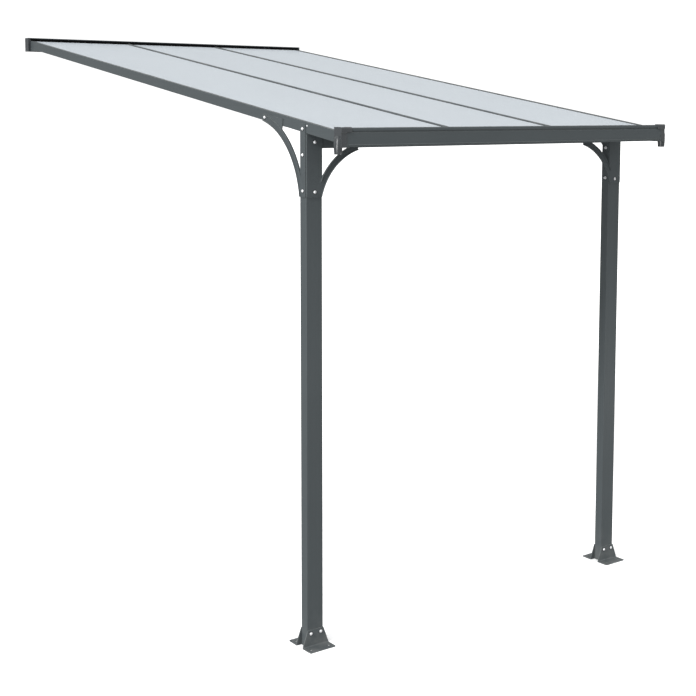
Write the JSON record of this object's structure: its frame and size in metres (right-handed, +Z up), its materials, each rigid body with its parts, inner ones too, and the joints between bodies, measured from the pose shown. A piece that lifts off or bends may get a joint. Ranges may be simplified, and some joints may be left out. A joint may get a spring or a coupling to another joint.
{
  "type": "lean-to patio cover",
  "caption": "Lean-to patio cover with a sloping clear roof between a wall bar and a gutter, on two posts with arched braces.",
  "frame": {"origin": "centre of the wall bar's flat back, on the wall", "axes": "+X to the right along the wall seen from outside, +Y into the wall, +Z up"},
  "size_m": [1.933, 3.1675, 2.6854],
  "materials": {
    "frame_paint": "fine textured powder coat, anthracite grey",
    "clear_sheet": "clear twin-wall sheet",
    "grey_moulding": "moulded plastic, anthracite grey",
    "closing_strip": "grey plastic channel"
  },
  "bodies": {
    "root": {"wall_bar": "frame_paint", "gutter": "frame_paint", "front_beam": "frame_paint", "inner_rafter_left": "frame_paint", "inner_rafter_right": "frame_paint", "rafter_cap_left": "frame_paint", "rafter_cap_right": "frame_paint", "roof_panel_left": "clear_sheet", "panel_end_strip_left": "closing_strip", "roof_panel_middle": "clear_sheet", "panel_end_strip_middle": "closing_strip", "roof_panel_right": "clear_sheet", "panel_end_strip_right": "closing_strip", "gable_rafter_left": "frame_paint", "heel_bracket_left": "frame_paint", "post_left": "frame_paint", "front_brace_left": "frame_paint", "side_brace_left": "frame_paint", "foot_front_left": "frame_paint", "foot_rear_left": "frame_paint", "wall_bar_end_cap_left": "grey_moulding", "gutter_end_cap_left": "grey_moulding", "gable_rafter_right": "frame_paint", "heel_bracket_right": "frame_paint", "post_right": "frame_paint", "front_brace_right": "frame_paint", "side_brace_right": "frame_paint", "foot_front_right": "frame_paint", "foot_rear_right": "frame_paint", "wall_bar_end_cap_right": "grey_moulding", "gutter_end_cap_right": "grey_moulding"}
  },
  "joints": []
}
